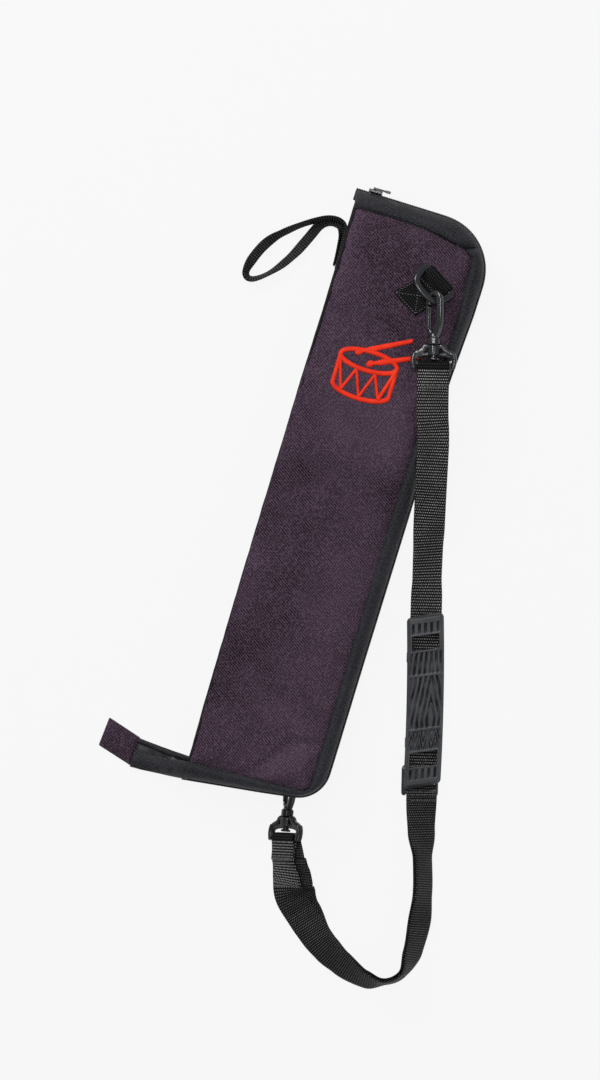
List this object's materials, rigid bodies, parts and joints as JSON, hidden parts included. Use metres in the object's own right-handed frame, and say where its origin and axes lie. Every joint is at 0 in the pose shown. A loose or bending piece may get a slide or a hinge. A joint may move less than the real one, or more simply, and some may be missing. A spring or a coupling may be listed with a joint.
{
  "type": "drum stick bag",
  "caption": "Slim padded zip-around bag for drum sticks that opens like a book, with a webbing shoulder strap on swivel hooks, a ribbed shoulder pad and a wrist loop.",
  "frame": {"origin": "on the back face, at the middle of the back panel across its width and along its length; the back face rests on the ground", "axes": "+Y along the bag towards its top end where the zip slider parks, +X across from the spine to the opening side, +Z out of the front cover"},
  "size_m": [0.2943, 0.6212, 0.0513],
  "materials": {
    "panel_fabric": "satin",
    "band_fabric": "satin",
    "lining": "matte",
    "foam": "matte",
    "zip_teeth": "satin",
    "webbing": "satin",
    "plastic": "satin",
    "pad_rubber": "matte",
    "zip_metal": "satin",
    "thread": "satin"
  },
  "bodies": {
    "back_half": {"back_shell": "panel_fabric", "back_foam": "foam", "back_lining": "lining", "back_band": "band_fabric", "back_zip_tape": "band_fabric", "back_zip_teeth": "zip_teeth", "spine_back": "band_fabric", "stick_pouch": "lining", "stick_pouch_hem": "lining", "ring_patch_back": "webbing", "d_ring_back": "plastic", "tail_back_band": "band_fabric", "tail_front_band": "band_fabric", "tail_zip_teeth": "zip_teeth", "tail_tab": "panel_fabric", "wrist_loop": "webbing", "wrist_loop_tab": "webbing", "strap_lower": "webbing", "strap_return": "webbing"},
    "front_cover": {"front_shell": "panel_fabric", "front_foam": "foam", "front_lining": "lining", "front_band": "band_fabric", "front_zip_tape": "band_fabric", "front_zip_teeth": "zip_teeth", "spine_front": "band_fabric", "key_pocket": "lining", "embroidered_badge": "thread", "ring_patch_front": "webbing", "strap_upper": "webbing"},
    "slider": {"zip_slider": "zip_metal"},
    "pull": {"zip_pull": "zip_metal"},
    "top_ring_and_hook": {"d_ring_front": "plastic", "snap_hook_upper": "plastic"},
    "upper_gate": {"hook_gate_upper": "plastic"},
    "upper_strap_frame": {"strap_frame_upper": "plastic", "strap_fold_upper": "webbing"},
    "lower_hook": {"snap_hook_lower": "plastic"},
    "lower_gate": {"hook_gate_lower": "plastic"},
    "lower_strap_frame": {"strap_frame_lower": "plastic", "strap_fold_lower": "webbing"},
    "pad": {"shoulder_pad": "pad_rubber"},
    "adjuster": {"slide_adjuster": "plastic"}
  },
  "joints": [
    {"name": "cover_open", "type": "hinge", "parent": "back_half", "child": "front_cover", "pos_m": [-0.0544, 0, 0.017], "axis": [0, -1, 0], "range_deg": [0, 90], "deforming": ["strap_upper", "strap_lower", "strap_return"]},
    {"name": "zip_slide", "type": "slide", "parent": "back_half", "child": "slider", "axis": [1, 0, 0], "range_m": [0, 0.06]},
    {"name": "zip_pull_flip", "type": "hinge", "parent": "slider", "child": "pull", "pos_m": [-0.0385, 0.2499, 0.017], "axis": [0, 0, 1], "range_deg": [0, 160]},
    {"name": "d_ring_lift", "type": "hinge", "parent": "front_cover", "child": "top_ring_and_hook", "pos_m": [0.0312, 0.1938, 0.0374], "axis": [-0.8553, 0.5182, 0], "range_deg": [0, 20]},
    {"name": "upper_gate_press", "type": "hinge", "parent": "top_ring_and_hook", "child": "upper_gate", "pos_m": [0.03297, 0.1535, 0.03958], "axis": [0.6448, 0.1787, -0.7431], "range_deg": [0, 18], "stiffness_Nm_per_rad": 0.02},
    {"name": "upper_swivel", "type": "hinge", "parent": "top_ring_and_hook", "child": "upper_strap_frame", "pos_m": [0.0413, 0.1418, 0.044], "axis": [-0.267, 0.9637, 0], "range_deg": [-12, 12]},
    {"name": "lower_hook_swing", "type": "hinge", "parent": "back_half", "child": "lower_hook", "pos_m": [0.02997, -0.21341, 0.00727], "axis": [0, 0, 1], "range_deg": [-6, 6]},
    {"name": "lower_gate_press", "type": "hinge", "parent": "lower_hook", "child": "lower_gate", "pos_m": [0.02954, -0.2378, 0.00629], "axis": [0.6774, 0.0179, -0.7354], "range_deg": [0, 18], "stiffness_Nm_per_rad": 0.02},
    {"name": "lower_swivel", "type": "hinge", "parent": "lower_hook", "child": "lower_strap_frame", "pos_m": [0.0367, -0.2494, 0.0126], "axis": [-0.1819, 0.9727, -0.144], "range_deg": [0, 85]},
    {"name": "pad_slide", "type": "slide", "parent": "back_half", "child": "pad", "axis": [0.2634, -0.9647, 0], "range_m": [-0.012, 0.01]},
    {"name": "adjuster_slide", "type": "slide", "parent": "back_half", "child": "adjuster", "axis": [0.2634, -0.9647, 0], "range_m": [0, 0.03]}
  ]
}
